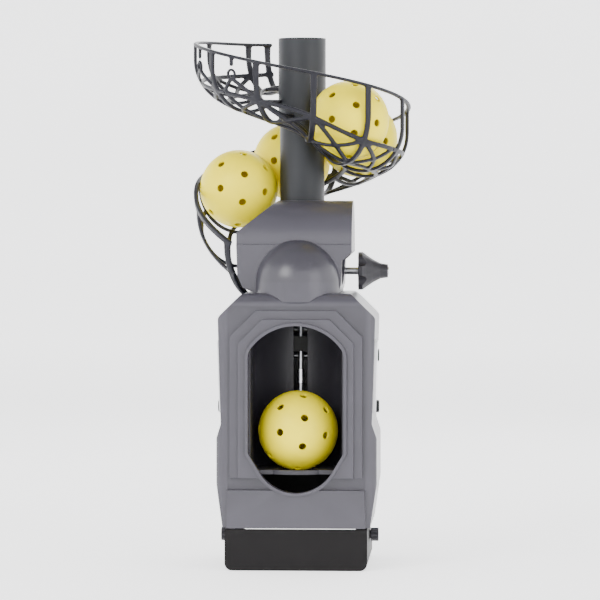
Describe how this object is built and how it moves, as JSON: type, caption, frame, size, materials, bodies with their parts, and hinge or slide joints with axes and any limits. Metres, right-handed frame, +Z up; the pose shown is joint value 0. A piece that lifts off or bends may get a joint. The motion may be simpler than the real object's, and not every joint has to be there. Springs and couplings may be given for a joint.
{
  "type": "baseball pitching machine",
  "caption": "Table-top pitching machine: a spiral ball tray on a mast feeds light perforated balls to a motor-wound kicker behind a front window.",
  "frame": {"origin": "centre of the stand's underside, on the surface it stands on", "axes": "+Z up, -Y to the front where the ball leaves, +X to the right as seen from the front"},
  "size_m": [0.2059, 0.222, 0.493],
  "materials": {
    "body_grey": "satin moulded graphite grey",
    "stand_black": "satin moulded black",
    "inner_dark": "matte moulded dark grey",
    "mast_slate": "satin slate tube",
    "tray_black": "satin moulded near black",
    "knob_dark": "satin moulded dark grey",
    "button_black": "gloss moulded black",
    "strip_white": "gloss moulded white",
    "ball_yellow": "satin moulded yellow",
    "rubber": "matte moulded",
    "steel": "ground",
    "silver": "plated",
    "gear_white": "natural acetal",
    "brass": "turned",
    "iron": "painted casting",
    "board": "green circuit board",
    "cell": "wrapped cell"
  },
  "bodies": {
    "stand": {"stand": "stand_black", "rubber_feet": "rubber", "ballast_plate": "iron"},
    "body": {"ball_channel": "inner_dark", "ball_shelf": "inner_dark", "base_plate": "stand_black", "battery_bay": "stand_black", "battery_cells": "cell", "button_boards": "board", "dc_socket": "stand_black", "drop_dome": "body_grey", "front_cover": "body_grey", "gear_pins": "steel", "gear_plate_left": "inner_dark", "gear_plate_right": "inner_dark", "hood": "body_grey", "housing_screws": "steel", "kicker_bushes": "brass", "kicker_stop": "rubber", "mast_pedestal": "body_grey", "mast_tube": "mast_slate", "motor": "steel", "rear_cover": "body_grey", "return_spring": "steel", "side_strip_left": "strip_white", "side_strip_right": "strip_white", "turret_base": "body_grey", "window_trim": "body_grey"},
    "tilt_screw_left_body": {"tilt_screw_left": "knob_dark"},
    "tilt_screw_right_body": {"tilt_screw_right": "knob_dark"},
    "battery_hatch": {"battery_door": "body_grey"},
    "tray": {"tray_hub": "mast_slate", "tray_upper": "tray_black", "tray_front": "tray_black", "tray_middle": "tray_black", "tray_lower": "tray_black"},
    "ball_in_window": {"window_ball": "ball_yellow"},
    "kicker": {"kicker_shaft": "steel", "kicker_arm": "steel", "kicker_ferrule": "silver", "kicker_hammer": "rubber", "kicker_sector_gear": "gear_white"},
    "winding": {"winding_gear": "gear_white", "drive_gear": "gear_white", "winding_shaft": "steel"},
    "reduction": {"reduction_gear": "gear_white"},
    "motor_rotor": {"motor_pinion": "gear_white", "motor_shaft": "steel"},
    "knob": {"strength_knob": "knob_dark", "knob_end_cap": "silver", "adjuster_shaft": "steel"},
    "seat": {"spring_seat": "gear_white"},
    "ball_1": {"tray_ball_1": "ball_yellow"},
    "ball_2": {"tray_ball_2": "ball_yellow"},
    "ball_3": {"tray_ball_3": "ball_yellow"},
    "ball_4": {"tray_ball_4": "ball_yellow"},
    "left_upper_button": {"button_left_upper": "button_black"},
    "left_lower_button": {"button_left_lower": "button_black"},
    "right_upper_button": {"button_right_upper": "button_black"},
    "right_lower_button": {"button_right_lower": "button_black"}
  },
  "joints": [
    {"name": "tilt", "type": "hinge", "parent": "stand", "child": "body", "pos_m": [0, 0, 0.027], "axis": [1, 0, 0], "range_deg": [-12, 0]},
    {"name": "left_screw_turn", "type": "hinge", "parent": "stand", "child": "tilt_screw_left_body", "pos_m": [-0.065, 0, 0.027], "axis": [1, 0, 0], "range_deg": [-180, 180]},
    {"name": "right_screw_turn", "type": "hinge", "parent": "stand", "child": "tilt_screw_right_body", "pos_m": [0.065, 0, 0.027], "axis": [1, 0, 0], "range_deg": [-180, 180]},
    {"name": "battery_door_slide", "type": "slide", "parent": "body", "child": "battery_hatch", "axis": [0, 1, 0], "range_m": [0, 0.03]},
    {"name": "tray_lift", "type": "slide", "parent": "body", "child": "tray", "axis": [0, 0, 1], "range_m": [0, 0.085]},
    {"name": "window_ball_out", "type": "slide", "parent": "body", "child": "ball_in_window", "axis": [0, -0.9, 0.4359], "range_m": [0, 0.09]},
    {"name": "kicker_swing", "type": "hinge", "parent": "body", "child": "kicker", "pos_m": [0, 0.02, 0.243], "axis": [1, 0, 0], "range_deg": [0, 22], "stiffness_Nm_per_rad": 0.3, "springref_deg": -9.74, "deforming": ["return_spring"]},
    {"name": "winding_turn", "type": "hinge", "parent": "body", "child": "winding", "pos_m": [0.017, 0.05064, 0.21729], "axis": [-1, 0, 0], "range_deg": [0, 33]},
    {"name": "reduction_turn", "type": "hinge", "parent": "body", "child": "reduction", "pos_m": [0.03, 0.05064, 0.19229], "axis": [1, 0, 0], "range_deg": [0, 104.6]},
    {"name": "motor_turn", "type": "hinge", "parent": "body", "child": "motor_rotor", "pos_m": [0.033, 0.05064, 0.16829], "axis": [-1, 0, 0], "range_deg": [0, 313.6]},
    {"name": "strength_knob_turn", "type": "hinge", "parent": "body", "child": "knob", "pos_m": [0.05, 0.052, 0.273], "axis": [1, 0, 0], "range_deg": [0, 150]},
    {"name": "spring_seat_slide", "type": "slide", "parent": "body", "child": "seat", "axis": [0, 0, -1], "range_m": [0, 0.002]},
    {"name": "tray_ball_1_out", "type": "slide", "parent": "tray", "child": "ball_1", "axis": [0, -0.507, 0.862], "range_m": [0, 0.035]},
    {"name": "tray_ball_2_out", "type": "slide", "parent": "tray", "child": "ball_2", "axis": [-0.3781, -0.092, 0.9212], "range_m": [0, 0.02]},
    {"name": "tray_ball_3_out", "type": "slide", "parent": "tray", "child": "ball_3", "axis": [-0.15, 0.245, 0.9579], "range_m": [0, 0.09]},
    {"name": "tray_ball_4_out", "type": "slide", "parent": "tray", "child": "ball_4", "axis": [0, 0, 1], "range_m": [0, 0.09]},
    {"name": "left_upper_press", "type": "slide", "parent": "body", "child": "left_upper_button", "axis": [1, 0, 0], "range_m": [0, 0.0016], "stiffness_N_per_m": 800, "springref_m": -0.001},
    {"name": "left_lower_press", "type": "slide", "parent": "body", "child": "left_lower_button", "axis": [1, 0, 0], "range_m": [0, 0.0016], "stiffness_N_per_m": 800, "springref_m": -0.001},
    {"name": "right_upper_press", "type": "slide", "parent": "body", "child": "right_upper_button", "axis": [-1, 0, 0], "range_m": [0, 0.0016], "stiffness_N_per_m": 800, "springref_m": -0.001},
    {"name": "right_lower_press", "type": "slide", "parent": "body", "child": "right_lower_button", "axis": [-1, 0, 0], "range_m": [0, 0.0016], "stiffness_N_per_m": 800, "springref_m": -0.001}
  ],
  "couplings": [
    {"joint": "kicker_swing", "follows": "winding_turn", "ratio": 0.66667},
    {"joint": "reduction_turn", "follows": "winding_turn", "ratio": 3.1667},
    {"joint": "motor_turn", "follows": "winding_turn", "ratio": 9.5},
    {"joint": "spring_seat_slide", "follows": "strength_knob_turn", "m_per_rad": 0.0007639}
  ]
}
